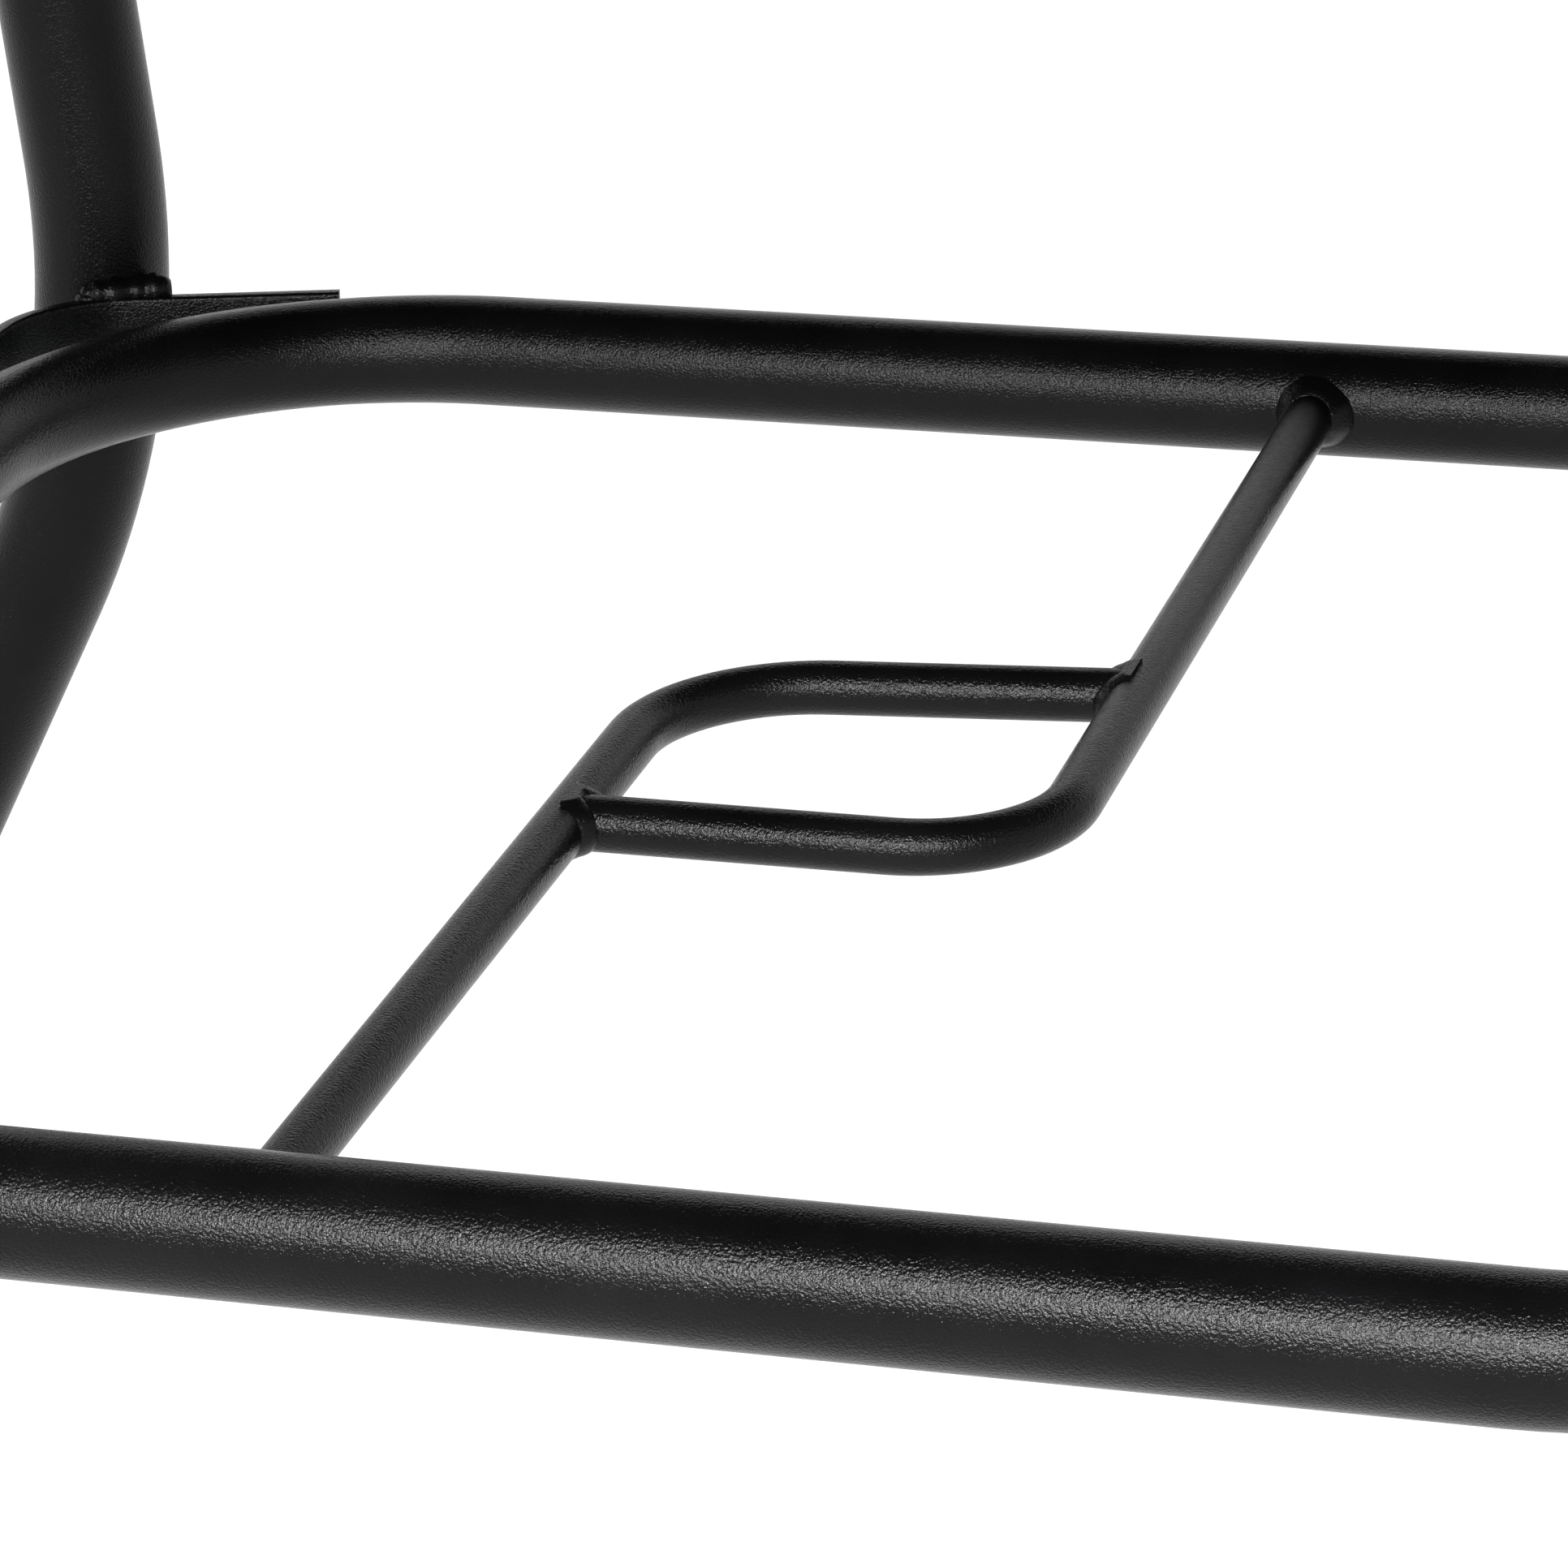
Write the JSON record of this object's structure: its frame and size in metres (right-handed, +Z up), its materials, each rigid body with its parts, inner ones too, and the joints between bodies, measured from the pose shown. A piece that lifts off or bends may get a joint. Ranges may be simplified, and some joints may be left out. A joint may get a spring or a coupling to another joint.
{
  "type": "folding luggage rack",
  "caption": "Tube-frame luggage rack: two bowed end frames, a webbing top in two leaves that fold upward, and a rod shelf hinged to one end frame.",
  "frame": {"origin": "centre of the footprint on the floor", "axes": "+X along the rack's width to the right, +Y from the front to the back, +Z up"},
  "size_m": [0.5728, 0.4054, 0.5668],
  "materials": {
    "black_coated_steel": "satin powder coat with a fine orange peel",
    "zinc_steel": "bright zinc",
    "rubber": "matt",
    "webbing": "woven polyester webbing"
  },
  "bodies": {
    "right_frame": {"right_end_tube": "black_coated_steel", "right_cradle_strap": "black_coated_steel", "right_front_foot": "rubber", "right_back_foot": "rubber", "right_front_lug": "black_coated_steel", "right_back_lug": "black_coated_steel", "right_front_pivot_pin": "zinc_steel", "right_back_pivot_pin": "zinc_steel", "shelf_hinge_band_front": "black_coated_steel", "shelf_hinge_band_back": "black_coated_steel"},
    "right_leaf": {"right_leaf_tube": "black_coated_steel", "right_front_end_plug": "rubber", "right_back_end_plug": "rubber", "right_front_knuckle": "zinc_steel", "right_back_knuckle": "zinc_steel", "right_inner_webbing": "webbing", "right_outer_webbing": "webbing", "mid_pin_front": "zinc_steel", "mid_pin_back": "zinc_steel"},
    "left_leaf": {"left_leaf_tube": "black_coated_steel", "left_front_end_plug": "rubber", "left_back_end_plug": "rubber", "left_front_knuckle": "zinc_steel", "left_back_knuckle": "zinc_steel", "left_inner_webbing": "webbing", "left_outer_webbing": "webbing"},
    "left_frame": {"left_end_tube": "black_coated_steel", "left_cradle_strap": "black_coated_steel", "left_front_foot": "rubber", "left_back_foot": "rubber", "left_front_lug": "black_coated_steel", "left_back_lug": "black_coated_steel", "left_front_pivot_pin": "zinc_steel", "left_back_pivot_pin": "zinc_steel", "shelf_rest_tab_front": "black_coated_steel", "shelf_rest_tab_back": "black_coated_steel"},
    "shelf": {"shelf_frame": "black_coated_steel", "shelf_rod_front": "black_coated_steel", "shelf_rod_back": "black_coated_steel"}
  },
  "joints": [
    {"name": "fold", "type": "hinge", "parent": "right_frame", "child": "right_leaf", "pos_m": [0.213, 0, 0.554], "axis": [0, 1, 0], "range_deg": [0, 66]},
    {"name": "mid_hinge", "type": "hinge", "parent": "right_leaf", "child": "left_leaf", "pos_m": [0, 0, 0.539], "axis": [0, 1, 0], "range_deg": [-132, 0]},
    {"name": "left_pivot", "type": "hinge", "parent": "left_leaf", "child": "left_frame", "pos_m": [-0.213, 0, 0.554], "axis": [0, 1, 0], "range_deg": [0, 66]},
    {"name": "shelf_hinge", "type": "hinge", "parent": "right_frame", "child": "shelf", "pos_m": [0.197, 0, 0.15], "axis": [0, 1, 0], "range_deg": [0, 71.3]}
  ],
  "couplings": [
    {"joint": "mid_hinge", "follows": "fold", "ratio": -2},
    {"joint": "left_pivot", "follows": "fold", "ratio": 1},
    {"joint": "shelf_hinge", "follows": "fold", "ratio": 1.08}
  ]
}
